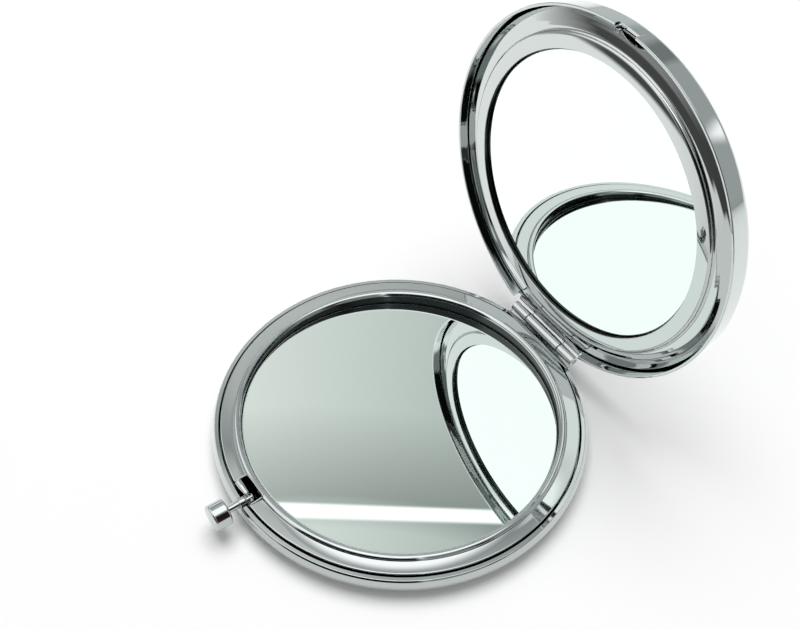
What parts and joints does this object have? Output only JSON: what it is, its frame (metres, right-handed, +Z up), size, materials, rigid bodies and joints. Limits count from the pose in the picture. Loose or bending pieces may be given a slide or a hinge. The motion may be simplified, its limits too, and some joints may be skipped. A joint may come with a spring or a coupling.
{
  "type": "compact mirror",
  "caption": "Round hinged pocket mirror, open: two chromed half shells with a glass mirror in each, a back hinge, and a front push button that frees a latch hook.",
  "frame": {"origin": "middle of the flat face that the case rests on, on the axis of the round base", "axes": "+Z up out of the resting face, +Y to the hinge, -Y to the push button, X along the hinge pin"},
  "size_m": [0.066, 0.0803, 0.0705],
  "materials": {
    "chrome_plate": "polished, plated",
    "mirror_glass": "silvered glass",
    "tape": "matte, adhesive",
    "foam": "closed-cell foam",
    "pin_steel": "drawn",
    "strip_steel": "rolled",
    "brass_bush": "turned"
  },
  "bodies": {
    "base": {"base_shell": "chrome_plate", "base_frame": "chrome_plate", "base_mirror": "mirror_glass", "base_mirror_tape": "tape", "base_backing": "foam", "base_hinge_leaf": "chrome_plate", "hinge_pin": "pin_steel", "rod_bush": "brass_bush", "spring_seat": "strip_steel"},
    "lid": {"lid_shell": "chrome_plate", "lid_frame": "chrome_plate", "lid_mirror": "mirror_glass", "lid_mirror_tape": "tape", "lid_backing": "foam", "lid_hinge_leaf": "chrome_plate", "lid_catch": "chrome_plate"},
    "button": {"button_knob": "chrome_plate", "button_rod": "chrome_plate", "rod_washer": "strip_steel", "latch_hook": "chrome_plate", "return_spring": "brass_bush"}
  },
  "joints": [
    {"name": "lid_hinge", "type": "hinge", "parent": "base", "child": "lid", "pos_m": [0, 0.033, 0.0053], "axis": [1, 0, 0], "range_deg": [0, 94.5]},
    {"name": "button_slide", "type": "slide", "parent": "base", "child": "button", "axis": [0, 1, 0], "range_m": [0, 0.0011], "stiffness_N_per_m": 1500, "springref_m": -0.0006, "deforming": ["return_spring"]}
  ]
}
